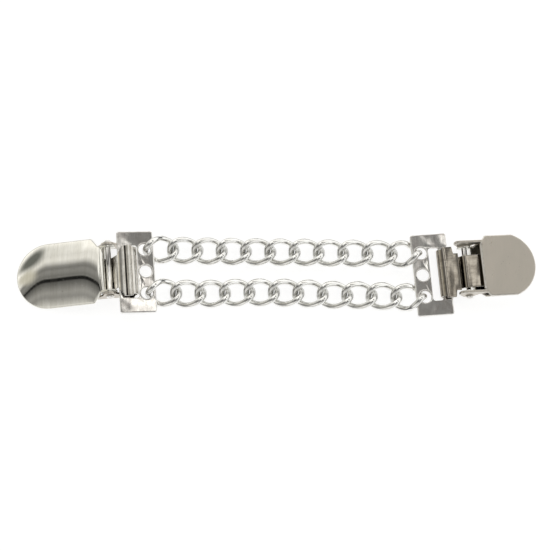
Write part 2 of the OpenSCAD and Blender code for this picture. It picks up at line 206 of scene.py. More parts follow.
class MeshDraft:
    """Points and faces of one piece while it is drawn, with a wear and painted shade value at each point.

    The value runs from 1 on a worn edge through 0 on plain metal to -1 in a crease with painted shade. The
    margins are the strips of flat sheet that a slab has inside its roundings.
    """

    round_steps = 5
    edge_margin = 0.06
    hole_margin = 0.01
    ear_round = 0.14
    ear_hole_round = 0.06
    least_area = 1e-12

    def __init__(self) -> None:
        """Start with nothing drawn."""
        self.points: list[Vector] = []
        self.faces: list[tuple[int, ...]] = []
        self.wear_and_shade: list[float] = []

    def ring(self, points: Iterable[Sequence[float]], wear_and_shade: float = 0.0) -> list[int]:
        """Add points.

        Args:
            points: Their places.
            wear_and_shade: Their wear value, below zero where shade is painted.

        Returns:
            Their numbers.
        """
        start = len(self.points)
        self.points += [Vector(p) for p in points]
        self.wear_and_shade += [wear_and_shade] * (len(self.points) - start)
        return list(range(start, len(self.points)))

    def bridge(self, rings: Sequence[Sequence[int]], forward: bool = True) -> None:
        """Join each ring to the next by quads.

        Args:
            rings: Numbers of each ring's points.
            forward: Whether the faces look outwards from rings that run counter-clockwise and rise.
        """
        for low, high in zip(rings, rings[1:]):
            near, far = (low, high) if forward else (high, low)
            self.faces += [(near[k - 1], near[k], far[k], far[k - 1]) for k in range(len(near))]

    def fan(self, ring: Sequence[int], tip: Sequence[float]) -> None:
        """Close a ring by triangles that meet in one point."""
        (end,) = self.ring([tip])
        self.faces += [(ring[k - 1], ring[k], end) for k in range(len(ring))]

    def cap(self, rings: Sequence[Sequence[int]], up: bool) -> None:
        """Fill a flat face between an outline and its holes.

        Args:
            rings: Numbers of the outline's points, then of each hole's.
            up: Whether the face looks along the draft's Z, or against it.
        """
        flat = [k for ring in rings for k in ring]
        for tri in tessellate_polygon([[self.points[k].to_2d().to_3d() for k in ring] for ring in rings]):
            a, b, c = (flat[k] for k in tri)
            p, q, r = (self.points[k] for k in (a, b, c))
            area = (q.x - p.x) * (r.y - p.y) - (q.y - p.y) * (r.x - p.x)
            if abs(area) > self.least_area:
                self.faces.append((a, b, c) if (area > 0) == up else (a, c, b))

    def slab(self, outline: Sequence[Point], holes: Sequence[Sequence[Point]], low: float, high: float,
             under: float | list[float], over: float | list[float], hole_round: float = 0.1) -> None:
        """Flat sheet with rounded edges.

        Args:
            outline: Counter-clockwise outline.
            holes: Clockwise outlines of its holes.
            low: Height of the underside.
            high: Height of the upper side.
            under: Rounding of the underside's edge, or a list of it at each point of the outline.
            over: The same for the upper side's edge.
            hole_round: Rounding of the holes' edges.
        """
        tops, bottoms = [], []
        for n, loop in enumerate([outline, *holes]):
            margin = self.hole_margin if n else self.edge_margin
            given = (hole_round, hole_round) if n else (under, over)
            u, o = (r if isinstance(r, list) else [r] * len(loop) for r in given)
            rings = [self.ring((x, y, low) for x, y in inset(loop, [r + margin for r in u]))]
            levels = [(a, u, low, 1) for a in quarter(self.round_steps)]
            levels += [(math.pi / 2 - a, o, high, -1) for a in quarter(self.round_steps)]
            for a, radii, level, sign in levels:
                places = inset(loop, [r * (1 - math.sin(a)) for r in radii])
                rings.append(self.ring(((x, y, level + sign * r * (1 - math.cos(a)))
                                        for (x, y), r in zip(places, radii)), math.sin(2 * a)))
            rings.append(self.ring((x, y, high) for x, y in inset(loop, [r + margin for r in o])))
            self.bridge(rings)
            bottoms.append(rings[0])
            tops.append(rings[-1])
        self.cap(tops, True)
        self.cap(bottoms, False)

    def ears(self, outline: Sequence[Point], hole: Sequence[Point], thickness: float,
             lows: Iterable[float]) -> None:
        """Upright ears of sheet across the clip.

        Args:
            outline: Side view of an ear, X to the jaw and Y up.
            hole: Its hole for the pin.
            thickness: Thickness of the sheet.
            lows: Where each ear starts along the pin.
        """
        for low in lows:
            ear = MeshDraft()
            ear.slab(outline, [hole], 0.0, thickness, self.ear_round, self.ear_round, self.ear_hole_round)
            ear.placed(Matrix(((1, 0, 0, 0), (0, 0, 1, low), (0, 1, 0, 0), (0, 0, 0, 1))))
            start = len(self.points)
            self.points += ear.points
            self.wear_and_shade += ear.wear_and_shade
            self.faces += [tuple(k + start for k in f) for f in ear.faces]

    def placed(self, matrix: Matrix) -> MeshDraft:
        """Move every point.

        Args:
            matrix: Matrix to move them by; a mirror turns the faces round as well.

        Returns:
            The same draft.
        """
        self.points = [matrix @ p for p in self.points]
        if matrix.determinant() < 0:
            self.faces = [tuple(reversed(f)) for f in self.faces]
        return self

    def piece(self, name: str, material: Material) -> Object:
        """Make the object, with its place in its mesh.

        Args:
            name: Object name.
            material: Its finish.

        Returns:
            The new object, at the origin.
        """
        mesh = bpy.data.meshes.new(name)
        mesh.from_pydata([tuple(p * MM) for p in self.points], [], self.faces)
        mesh.attributes.new("wear_and_shade", "FLOAT", "POINT").data.foreach_set("value", self.wear_and_shade)
        mesh.polygons.foreach_set("use_smooth", [True] * len(mesh.polygons))
        mesh.materials.append(material)
        mesh.validate()
        mesh.update()
        made = bpy.data.objects.new(name, mesh)
        bpy.context.scene.collection.objects.link(made)
        return made


def hand_over(made: Object, body: str, nodes: Sequence[str] = ()) -> None:
    """Give a finished piece to its body.

    Args:
        made: The finished piece.
        body: Body that it rides on.
        nodes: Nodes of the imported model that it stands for.
    """
    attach(made, body)
    if nodes:
        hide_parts(*nodes)
    log.info("%s: %d faces on %s", made.name, len(made.data.polygons), body)


# Shader and geometry node helpers


class Tree:
    """A node tree being wired."""

    def __init__(self, tree: NodeTree) -> None:
        """Keep the tree."""
        self.tree = tree

    @classmethod
    def group(cls, name: str, family: str, inputs: dict[str, str],
              outputs: dict[str, str]) -> tuple[Tree, dict[str, Socket], dict[str, Socket]]:
        """Start a node group with its interface.

        Args:
            name: Group name.
            family: Shader or Geometry.
            inputs: Kind of each input by name.
            outputs: Kind of each output by name.

        Returns:
            The tree, the values that it is given and the sockets that it fills, by name.
        """
        group = bpy.data.node_groups.new(name, f"{family}NodeTree")
        for way, sockets in (("INPUT", inputs), ("OUTPUT", outputs)):
            for label, kind in sockets.items():
                group.interface.new_socket(name=label, in_out=way, socket_type=f"NodeSocket{kind}")
        tree = cls(group)
        return tree, tree.node("NodeGroupInput").outputs, tree.node("NodeGroupOutput").inputs

    def node(self, kind: str, settings: dict[str, object] | None = None, **inputs: object) -> bpy.types.Node:
        """Add a node.

        Args:
            kind: Its type name.
            settings: Its properties.
            inputs: Values or output sockets by input name, with spaces as underscores, or in_N by number.

        Returns:
            The node.
        """
        made = self.tree.nodes.new(kind)
        for key, value in (settings or {}).items():
            setattr(made, key, value)
        for key, value in inputs.items():
            place = int(key[3:]) if key.startswith("in_") else key.replace("_", " ")
            self.fill(made.inputs[place], value)
        return made

    def fill(self, socket: Socket, value: object) -> None:
        """Give an input socket its value.

        Args:
            socket: The input socket.
            value: An output socket to link it to, or a constant.
        """
        if isinstance(value, Socket):
            self.tree.links.new(value, socket)
        else:
            socket.default_value = value

    def maths(self, operation: str, *values: object) -> Socket:
        """Add a Math node for shaders or geometry and return its output."""
        return self.node("ShaderNodeMath", {"operation": operation},
                         **{f"in_{k}": v for k, v in enumerate(values)}).outputs[0]

    def add(self, *values: object) -> Socket:
        """Sum of some values."""
        return reduce(lambda a, b: self.maths("ADD", a, b), values)

    def mul(self, *values: object) -> Socket:
        """Product of some values."""
        return reduce(lambda a, b: self.maths("MULTIPLY", a, b), values)

    def ramp(self, value: Socket, low: float, high: float, to: Point = (0.0, 1.0),
             smooth: bool = False) -> Socket:
        """Value that runs between two limits while another does.

        Args:
            value: The other value.
            low: Where it starts.
            high: Where it ends; it may lie below the start.
            to: The result at the start and at the end.
            smooth: Whether it eases in and out.

        Returns:
            The result.
        """
        settings = {"clamp": True, "interpolation_type": "SMOOTHSTEP" if smooth else "LINEAR"}
        return self.node("ShaderNodeMapRange", settings, Value=value, From_Min=low, From_Max=high,
                         To_Min=to[0], To_Max=to[1]).outputs[0]

    def blend(self, share: Socket, first: object, second: object) -> Socket:
        """Mix two colours.

        Args:
            share: Share of the second colour.
            first: The first colour, or a socket that has it.
            second: The second, in the same way.

        Returns:
            The mixed colour.
        """
        made = self.node("ShaderNodeMix", {"data_type": "RGBA"}, in_0=share)
        for index, value in ((6, first), (7, second)):
            self.fill(made.inputs[index], (*value, 1.0) if isinstance(value, tuple) else value)
        return made.outputs[2]

    def effect(self, group: NodeTree, **inputs: object) -> dict[str, Socket]:
        """Add a shader group and return its outputs by name."""
        return self.node("ShaderNodeGroup", {"node_tree": group}, **inputs).outputs

    def step(self, kind: str, geometry: Socket, **inputs: object) -> Socket:
        """Add a geometry node that changes a geometry and return its result."""
        return self.node(f"GeometryNode{kind}", Geometry=geometry, **inputs).outputs[0]

    def circle(self, radius: object, resolution: int) -> Socket:
        """Add a circle for a geometry tree."""
        return self.node("GeometryNodeCurvePrimitiveCircle", Resolution=resolution, Radius=radius).outputs[0]


def grow(made: Object, group: NodeTree, values: dict[str, object]) -> None:
    """Run a geometry tree on an object and keep its result as the object's plain mesh.

    Args:
        made: Object that carries the seed points.
        group: The tree.
        values: Values of the tree's inputs by name.
    """
    modifier = made.modifiers.new(group.name, "NODES")
    modifier.node_group = group
    for item in group.interface.items_tree:
        if item.item_type == "SOCKET" and item.in_out == "INPUT" and item.name in values:
            modifier[item.identifier] = values[item.name]
    graph = bpy.context.evaluated_depsgraph_get()
    mesh = bpy.data.meshes.new_from_object(made.evaluated_get(graph), preserve_all_data_layers=True,
                                           depsgraph=graph)
    made.modifiers.clear()
    made.data = mesh
    mesh.name = made.name


# Finishes


@cache
def brushed_streaks() -> NodeTree:
    """Brushed lines: noise drawn out along one axis of its vector.

    Returns:
        The group, made on the first call and found again on the next.
    """
    coarser, fine_share = 0.27, 0.55
    tree, given, out = Tree.group("brushed_streaks", "Shader", {"Vector": "Vector", "Fine": "Float"},
                                  {"Mask": "Float", "Height": "Float"})
    fine = tree.node("ShaderNodeTexNoise", Vector=given["Vector"], Scale=given["Fine"], Detail=3.0,
                     Roughness=0.6)
    broad = tree.node("ShaderNodeTexNoise", Vector=given["Vector"], Scale=tree.mul(given["Fine"], coarser),
                      Detail=2.0)
    both = tree.add(tree.mul(fine.outputs[0], fine_share), tree.mul(broad.outputs[0], 1 - fine_share))
    tree.fill(out["Mask"], tree.ramp(both, 0.36, 0.64))
    tree.fill(out["Height"], fine.outputs[0])
    return tree.tree


@cache
def tarnish_clouds() -> NodeTree:
    """Soft clouds of tarnish with small spots in them.

    Returns:
        The group, made on the first call and found again on the next.
    """
    finer = 7.0
    tree, given, out = Tree.group("tarnish_clouds", "Shader", {"Vector": "Vector", "Scale": "Float"},
                                  {"Cloud": "Float", "Spots": "Float"})
    cloud = tree.node("ShaderNodeTexNoise", Vector=given["Vector"], Scale=given["Scale"], Detail=4.0,
                      Roughness=0.55, Distortion=0.6)
    cells = tree.node("ShaderNodeTexVoronoi", Vector=given["Vector"], Scale=tree.mul(given["Scale"], finer))
    level = tree.ramp(cloud.outputs[0], 0.4, 0.68)
    tree.fill(out["Cloud"], level)
    tree.fill(out["Spots"], tree.mul(tree.ramp(cells.outputs["Distance"], 0.16, 0.04), level))
    return tree.tree


@cache
def edge_wear_and_shade() -> NodeTree:
    """Worn edges and painted shade in creases and at chain links' ends: the mesh's wear and shade value,
    with the wear broken up by noise.

    Returns:
        The group, made on the first call and found again on the next.
    """
    tree, given, out = Tree.group("edge_wear_and_shade", "Shader", {"Vector": "Vector", "Grain": "Float"},
                                  {"Mask": "Float", "Soil": "Float"})
    wear_and_shade = tree.node("ShaderNodeAttribute", {"attribute_name": "wear_and_shade"}).outputs["Fac"]
    noise = tree.node("ShaderNodeTexNoise", Vector=given["Vector"], Scale=given["Grain"], Detail=3.0)
    torn = tree.add(wear_and_shade, tree.maths("MULTIPLY_ADD", noise.outputs[0], 1.2, -0.6))
    tree.fill(out["Mask"], tree.ramp(torn, 0.35, 0.85))
    # Painted shade: values below zero darken creases and the ends of chain links.
    tree.fill(out["Soil"], tree.ramp(wear_and_shade, 0.0, -1.0))
    return tree.tree


@dataclass(frozen=True)
class MetalFinish:
    """A plated or rolled metal surface.

    The colours are the plain metal's, the tarnished metal's and the worn edges'. The grain and wave vectors
    scale the object's axes, turned by their angle in degrees; the heights of waves and relief are in
    millimetres. The shares say how strongly an effect covers what lies under it.
    """

    name: str
    bright: Triple
    dull: Triple
    rim: Triple
    rough: Point
    grain: Triple
    grain_turn: float
    fine: float
    cloud: float
    tarnish: float
    relief: float
    streak: float = 0.3
    waves: float = 0.0
    wave_size: Triple = (200.0, 200.0, 200.0)
    wave_turn: float = 0.0
    # Near-black colour of the shade painted in creases and where chain links meet, and how strongly it
    # covers.
    soil: Triple = (0.02, 0.018, 0.016)
    painted_shade_share: float = 0.93
    spot_shade: float = 0.45
    spot_share: float = 0.5
    scuff_grain: float = 900.0
    scuff_share: float = 0.8
    relief_mm: float = 0.06

    @cache
    def build(self) -> Material:
        """Wire the material.

        Returns:
            The material, made on the first call and found again on the next.
        """
        material = bpy.data.materials.new(self.name)
        material.use_nodes = True
        tree = Tree(material.node_tree)
        shader = material.node_tree.nodes["Principled BSDF"].inputs
        shader["Metallic"].default_value = 1.0
        place = tree.node("ShaderNodeTexCoord").outputs["Object"]
        drawn = self._turned(tree, place, self.grain, self.grain_turn)
        streaks = tree.effect(brushed_streaks(), Vector=drawn, Fine=self.fine)
        mottle = tree.effect(tarnish_clouds(), Vector=place, Scale=self.cloud)
        scuffs_and_shade = tree.effect(edge_wear_and_shade(), Vector=place, Grain=self.scuff_grain)
        stain = tree.mul(mottle["Cloud"], self.tarnish)
        colour: object = self.bright
        # The last layer is painted shade: near-black in creases and at the ends of chain links.
        for share, over in ((stain, self.dull), (tree.mul(streaks["Mask"], self.streak), self.dull),
                            (tree.mul(mottle["Spots"], self.spot_share),
                             tuple(self.spot_shade * c for c in self.dull)),
                            (tree.mul(scuffs_and_shade["Mask"], self.scuff_share), self.rim),
                            (tree.mul(scuffs_and_shade["Soil"], self.painted_shade_share), self.soil)):
            colour = tree.blend(share, colour, over)
        tree.fill(shader["Base Color"], colour)
        mix = tree.maths("MULTIPLY_ADD", streaks["Mask"], 0.5, tree.mul(stain, 0.5))
        tree.fill(shader["Roughness"], tree.ramp(mix, 0.0, 1.0, self.rough))
        bump = tree.node("ShaderNodeBump", Strength=self.relief, Distance=self.relief_mm * MM,
                         Height=streaks["Height"])
        if self.waves:
            wave = tree.node("ShaderNodeTexNoise", Scale=1.0, Detail=1.0,
                             Vector=self._turned(tree, place, self.wave_size, self.wave_turn))
            swell = tree.node("ShaderNodeBump", Strength=1.0, Distance=self.waves * MM,
                              Height=wave.outputs[0])
            tree.fill(bump.inputs["Normal"], swell.outputs[0])
        tree.fill(shader["Normal"], bump.outputs[0])
        return material

    @staticmethod
    def _turned(tree: Tree, place: Socket, scale: Triple, degrees: float) -> Socket:
        """Coordinates turned about Z and scaled."""
        return tree.node("ShaderNodeMapping", Vector=place, Scale=scale,
                         Rotation=(0.0, 0.0, math.radians(degrees))).outputs[0]


class Finish(Enum):
    """Every finish of the sweater clip."""

    NICKEL = MetalFinish(
        "polished_nickel", (0.83, 0.82, 0.77), (0.62, 0.60, 0.53), (0.97, 0.96, 0.93), rough=(0.045, 0.14),
        grain=(1.0, 0.04, 0.3), grain_turn=5.0, fine=1900.0, cloud=90.0, tarnish=0.35, relief=0.07,
        streak=0.5, waves=0.05, wave_size=(60.0, 120.0, 60.0))
    SATIN = MetalFinish(
        "satin_nickel", (0.60, 0.555, 0.49), (0.53, 0.50, 0.44), (0.90, 0.88, 0.84), rough=(0.27, 0.42),
        grain=(1.0, 0.06, 1.0), grain_turn=4.5, fine=1500.0, cloud=120.0, tarnish=0.5, relief=0.12)
    PLATE = MetalFinish(
        "plate_steel", (0.86, 0.85, 0.82), (0.52, 0.48, 0.45), (0.98, 0.98, 0.97), rough=(0.05, 0.20),
        grain=(1.0, 0.12, 1.0), grain_turn=5.0, fine=1300.0, cloud=260.0, tarnish=0.7, relief=0.10,
        waves=0.15, wave_size=(190.0, 190.0, 190.0))
    SPRING = MetalFinish(
        "spring_steel", (0.40, 0.37, 0.32), (0.20, 0.175, 0.145), (0.97, 0.96, 0.93), rough=(0.05, 0.18),
        grain=(0.2, 1.0, 0.4), grain_turn=5.0, fine=1100.0, cloud=300.0, tarnish=0.7, relief=0.05,
        waves=0.13, wave_size=(330.0, 90.0, 200.0), wave_turn=5.0)
    # Brighter copy of the darker spring finish, whose lighter colour paints the light that the left strip's
    # leaf catches.
    CLEAN_SPRING = replace(
        SPRING, name="clean_spring_steel", bright=(0.74, 0.72, 0.67), dull=(0.48, 0.45, 0.40),
        rough=(0.07, 0.18), waves=0.05)
    RIVET = MetalFinish(
        "rivet_steel", (0.92, 0.91, 0.89), (0.58, 0.56, 0.52), (1.0, 1.0, 0.99), rough=(0.06, 0.20),
        grain=(1.0, 1.0, 1.0), grain_turn=0.0, fine=1500.0, cloud=400.0, tarnish=0.5, relief=0.05)
    CHAIN = MetalFinish(
        "chain_steel", (0.97, 0.97, 0.95), (0.66, 0.65, 0.62), (0.99, 0.99, 0.97), rough=(0.06, 0.20),
        grain=(0.25, 1.0, 1.0), grain_turn=0.0, fine=1400.0, cloud=260.0, tarnish=0.5, relief=0.08,
        streak=0.35)


# The two ends


class Side(Enum):
    """The two ends of the sweater clip."""

    LEFT = "left"
    RIGHT = "right"


@dataclass(frozen=True)
class End:
    """Where the pieces of one end stand, in millimetres and degrees, and what differs from the other end."""

    side: Side
    hole: Triple
    rail: Triple
    heading: float
    tilt: float
    pin: Triple
    slide: float
    bow: Point
    strip_finish: Finish
    cover_size: Point
    cover_slope: float = 7.5

    def plate(self) -> Matrix:
        """Place of the slot plate about its middle hole."""
        return Matrix.Translation(self.hole) @ turn("Z", self.heading) @ turn("Y", -self.tilt)

    def clip(self) -> Matrix:
        """Place of the lever clip about its pin, centred on the strip; the right clip lies back up."""
        place = Matrix.Translation(self.rail) @ turn("Z", self.heading) @ Matrix.Translation(self.pin)
        return place if self.side is Side.LEFT else place @ turn("Y", self.cover_slope) @ turn("X", 180)

    def ears(self) -> Matrix:
        """Place of the pieces that are slid along the pin: back plate, pin and cover."""
        return self.clip() @ Matrix.Translation((0, -self.slide, 0))


LEFT_END = End(
    Side.LEFT, hole=(-40.4136, 0.547337, 3.45), rail=(-47.2464, -0.0384426, 0.0), heading=184.9,
    tilt=14.3153, pin=(4.35, 0.0, 0.0), slide=1.45, bow=(0.05, 0.25), strip_finish=Finish.CLEAN_SPRING,
    cover_size=(20.9, 29.6))
RIGHT_END = End(
    Side.RIGHT, hole=(45.8564, -0.552663, 2.95), rail=(52.9087, 0.00236279, 0.0), heading=4.5,
    tilt=-1.82302, pin=(7.27184, 0.0, 7.01236), slide=0.8, bow=(0.05, 0.08), strip_finish=Finish.SPRING,
    cover_size=(18.2, 21.0))


@dataclass
class EndPiece:
    """A piece at one end, with the sizes that several of them share, in millimetres."""

    end: End
    pin_d: float = 1.8
    pin_h: float = 4.4
    pin_fit: float = 0.05
    cover_thk: float = 0.7
    cover_ear_y: float = 6.75
    back_thk: float = 0.8
    back_ear_y: float = 7.55

    def deliver(self, draft: MeshDraft, place: Matrix, name: str, finish: Finish, body: str, slot: str,
                node: str = "") -> None:
        """Make a draft into a piece and hand it over.

        Args:
            draft: The finished draft.
            place: Its place.
            name: The piece's name without its side.
            finish: Its finish.
            body: Body that it rides on, without its side.
            slot: Not used.
            node: Node that it stands for, without its side.
        """
        side = self.end.side.value
        made = draft.placed(place).piece(f"{side}_{name}", finish.value.build())
        nodes = [f"{side}_{node}"] if node else []
        hand_over(made, body if body == CHAIN_BODY else f"{side}_{body}", nodes)

    def pin_hole(self, height: float) -> list[Point]:
        """Hole of an ear for the pin, clockwise."""
        return arc((0, height), self.pin_d / 2 + self.pin_fit, 360, 8)


# Sub-assemblies


@dataclass
class SlotPlate(EndPiece):
    """Plate with three holes for the chain and a slot for the spring strip."""

    length: float = 26.2
    width: float = 11.52765
    thickness: float = 1.1
    corner: float = 0.8
    under_round: float = 0.3
    rim_round: float = 0.42
    hole_d: float = 3.7
    hole_pitch: float = 6.95
    hole_fit: float = 0.02
    hole_inset: float = 2.95
    slot_x: float = 2.4
    slot_wid: float = 3.17765
    slot_len: float = 16.8
    burr_wid: float = 0.36
    burr_gap: float = 0.13

    def build(self) -> None:
        """Build and dress the plate and the burrs round its holes."""
        near, far, top, r = -self.hole_inset, self.width - self.hole_inset, self.length / 2, self.corner
        outline = rounded_corners([(near, -top, r), (far, -top, r), (far, top, r), (near, top, r)])
        hole = arc((0, 0), self.hole_d / 2 + self.hole_fit, 360, 5)
        holes = [[(x, y + row * self.hole_pitch) for x, y in hole] for row in (-1, 0, 1)]
        near, far, end, r = self.slot_x, self.slot_x + self.slot_wid, self.slot_len / 2, self.slot_wid / 4
        holes.append(rounded_corners([(near, -end, r), (near, end, r), (far, end, r), (far, -end, r)]))
        draft = MeshDraft()
        half = self.thickness / 2
        draft.slab(resampled(outline, 1.0), holes, -half, half, self.under_round, self.rim_round)
        for p in draft.points:
            across = 2 * (p.x + self.hole_inset) / self.width - 1
            p.z -= self.end.bow[0] * across ** 2 + self.end.bow[1] * (p.y / top) ** 2
        self.deliver(draft, self.end.plate(), "plate_face", Finish.PLATE, CHAIN_BODY, "plate_steel",
                     "slot_plate")
        self._burrs()

    def _burrs(self) -> None:
        """Rolled rings of the three holes, one ring instanced on three points."""
        place, material = self.end.plate(), Finish.RIVET.value.build()
        seeds = MeshDraft()
        seeds.ring((0, row * self.hole_pitch, self.thickness / 2) for row in (-1, 0, 1))
        made = seeds.placed(place).piece(f"{self.end.side.value}_hole_burrs", material)
        grow(made, self.burr_tree(), {
            "Hole radius": (self.hole_d / 2 + self.burr_gap) * MM, "Burr width": self.burr_wid * MM,
            "Turn": tuple(place.to_euler()), "Material": material})
        hand_over(made, CHAIN_BODY)

    @staticmethod
    @cache
    def burr_tree() -> NodeTree:
        """Tree that lays a rolled ring on each seed point.

        Returns:
            The tree, made on the first call and found again on the next.
        """
        ring_points, wire_points = 56, 14
        tree, given, out = Tree.group("hole_burrs", "Geometry", {
            "Geometry": "Geometry", "Hole radius": "Float", "Burr width": "Float", "Turn": "Vector",
            "Material": "Material"}, {"Geometry": "Geometry"})
        half = tree.mul(given["Burr width"], 0.5)
        path = tree.circle(tree.add(given["Hole radius"], half), ring_points)
        ring = tree.node("GeometryNodeCurveToMesh", Curve=path, Profile_Curve=tree.circle(half, wire_points))
        spread = tree.node("GeometryNodeInstanceOnPoints", Points=given["Geometry"], Rotation=given["Turn"],
                           Instance=tree.step("SetShadeSmooth", ring.outputs[0]))
        real = tree.step("RealizeInstances", spread.outputs[0])
        tree.fill(out["Geometry"], tree.step("SetMaterial", real, Material=given["Material"]))
        return tree.tree


@dataclass
class SpringStrip(EndPiece):
    """Strip that loops through the slot plate, passes under the pin and ends in the toothed jaw."""

    thickness: float = 0.5
    edge_round: float = 0.14
    edge_steps: int = 4
    edge_wear: float = 0.8
    throat_wid: float = 10.3
    leaf_wid: float = 11.8
    wing_wid: float = 16.2
    loop_wid: float = 15.0
    loop_in_r: float = 1.72765
    loop_h: float = 5.2
    loop_slide: float = 2.3
    jaw_wid: float = 9.0
    jaw_reach: float = 16.6
    jaw_slope: float = 3.5
    pin_to_loop: float = 6.65
    throat_start: float = 3.0
    wing_taper: float = 4.75
    wing_start: float = 4.1
    wing_end: float = 7.3
    wing_soft: float = 0.35
    rear_end: float = 2.6
    trough_gap: float = 0.1
    crease: tuple[Point, ...] = ((-6.1, 0.0), (-5.8, 0.36), (-5.3, 0.36), (-4.95, 0.0))
    # Stretch of the crease over the loop where shade is painted into the colour.
    crease_shade: Point = (-5.95, -5.12)
    lip_round: float = 0.5
    lip_h: float = 0.95
    notch_h: float = 1.45
    tooth_tip: float = 0.8
    teeth: int = 6
    tooth_columns: int = 8
    straight_step: float = 0.16
    fine_step: float = 0.1
    bend_step: float = 0.14

    def _width(self, x: float, is_long: bool) -> float:
        """Width of the strip at a place.

        Args:
            x: Distance from the pin axis towards the jaw.
            is_long: Whether the place is on the long leaf.

        Returns:
            The width.
        """
        wing, soft = self.wing_wid, self.wing_soft
        marks = [(-self.wing_end - soft, self.loop_wid), (-self.wing_end, wing)]
        if is_long:
            marks += [(-self.wing_taper, wing), (-self.throat_start, self.throat_wid),
                      (self.jaw_reach / 2, self.throat_wid), (self.jaw_reach + 1, self.jaw_wid)]
        else:
            marks += [(-self.wing_start - soft, wing), (-self.wing_start, self.leaf_wid),
                      (0.0, self.leaf_wid)]
        if x <= marks[0][0] or x >= marks[-1][0]:
            return marks[0][1] if x <= marks[0][0] else marks[-1][1]
        k = bisect_right([m[0] for m in marks], x) - 1
        (a, u), (b, v) = marks[k], marks[k + 1]
        return u + (v - u) * (x - a) / (b - a)

    def _path(self) -> list[tuple[Vector, float]]:
        """Path of the sheet from the short leaf's free end to the jaw's lip.

        Returns:
            Places on the middle of the sheet, each with the sheet's width there.
        """
        path: list[tuple[Vector, float]] = []

        def put(x: float, z: float, is_long: bool = True) -> None:
            """Add one place."""
            path.append((Vector((x, 0, z)), self._width(x, is_long)))

        def run(start: Point, end: Point, is_long: bool = True, step: float = self.straight_step) -> None:
            """Add a straight stretch.

            Args:
                start: Where it starts.
                end: Where it ends; the next stretch adds that place.
                is_long: Whether it is on the long leaf.
                step: Longest distance between two places.
            """
            dx, dz = end[0] - start[0], end[1] - start[1]
            count = max(1, math.ceil(math.hypot(dx, dz) / step))
            for k in range(count):
                put(start[0] + dx * k / count, start[1] + dz * k / count, is_long)

        def bend(centre: Point, r: float, start: float, end: float) -> None:
            """Add a bend.

            Args:
                centre: Its centre.
                r: Its radius.
                start: First angle in degrees.
                end: Last angle in degrees; the next stretch adds that place.
            """
            count = max(4, math.ceil(abs(math.radians(end - start)) * r / self.bend_step))
            for x, z in arc(centre, r, start, end, count=count)[:-1]:
                put(x, z)

        fold, trough = (self.loop_slide - self.pin_to_loop, self.loop_h), (0.0, self.pin_h)
        radius = self.loop_in_r + self.thickness / 2
        trough_r = self.pin_d / 2 + self.trough_gap + self.thickness / 2
        reach = Vector(trough) - Vector(fold)
        fall = math.atan2(reach.y, reach.x) - math.asin((radius + trough_r) / reach.length)
        slant = math.degrees(fall)
        top = (fold[0] - radius * math.sin(fall), fold[1] + radius * math.cos(fall))
        foot = (trough[0] + trough_r * math.sin(fall), trough[1] - trough_r * math.cos(fall))
        leave = math.radians(270 - self.jaw_slope)
        out = (trough[0] + trough_r * math.cos(leave), trough[1] + trough_r * math.sin(leave))
        lip_x = self.jaw_reach - self.thickness / 2
        turn_x = lip_x - self.lip_round
        turn_z = out[1] - math.tan(math.radians(self.jaw_slope)) * (turn_x - out[0])
        low, high = self.loop_h - radius, self.loop_h + radius
        run((-self.rear_end, low), (-self.pin_to_loop, low), False)
        bend((-self.pin_to_loop, self.loop_h), radius, 270, 90)
        marks = [(-self.pin_to_loop, 0.0), *self.crease, (fold[0], 0.0)]
        for (xa, da), (xb, db) in zip(marks, marks[1:]):
            run((xa, high - da), (xb, high - db), step=self.fine_step)
        bend(fold, radius, 90, 90 + slant)
        run(top, foot)
        bend(trough, trough_r, 270 + slant, 270 - self.jaw_slope)
        run(out, (turn_x, turn_z))
        bend((turn_x, turn_z - self.lip_round), self.lip_round, 90 - self.jaw_slope, 0)
        run((lip_x, turn_z - self.lip_round), (lip_x, self.lip_h), step=self.fine_step)
        put(lip_x, self.lip_h)
        return path

    def _tooth_end(self, y: float) -> float:
        """Height of the lip's toothed edge.

        Args:
            y: Place across the lip.

        Returns:
            The height.
        """
        pitch = self.jaw_wid / self.teeth
        apart = abs((y / pitch + 0.5) % 1 - 0.5) * pitch
        return max(self.lip_h, self.notch_h - (self.notch_h - self.tooth_tip) * apart / (pitch / 2))

    def _section(self, width: float) -> list[Point]:
        """Cross-section of the sheet with rounded edges.

        Args:
            width: Width of the sheet.

        Returns:
            Places across the sheet and heights over its middle: the upper side, one edge, the underside and
            the other edge.
        """
        edge, half, columns = self.edge_round, self.thickness / 2, self.teeth * self.tooth_columns
        inner = width / 2 - edge
        corner = quarter(self.edge_steps)
        upper = [((2 * j / columns - 1) * inner, half) for j in range(columns + 1)]
        upper += [(inner + edge * math.sin(a), half - edge * (1 - math.cos(a))) for a in corner[1:]]
        upper += [(inner + edge * math.cos(a), -half + edge * (1 - math.sin(a))) for a in corner[:-1]]
        return upper + [(-y, -h) for y, h in upper]

    def build(self) -> None:
        """Build and dress the strip."""
        path = self._path()
        columns, edge = self.teeth * self.tooth_columns, 2 * self.edge_steps
        draft, rings = MeshDraft(), []
        for k, (place, width) in enumerate(path):
            along = (path[min(k + 1, len(path) - 1)][0] - path[max(k - 1, 0)][0]).normalized()
            outward = Vector((-along.z, 0, along.x))
            points = [place + outward * h + Vector((0, y, 0)) for y, h in self._section(width)]
            if place.z < self.notch_h and k > len(path) / 2:
                for p in points:
                    p.z = max(p.z, self._tooth_end(p.y * self.jaw_wid / width))
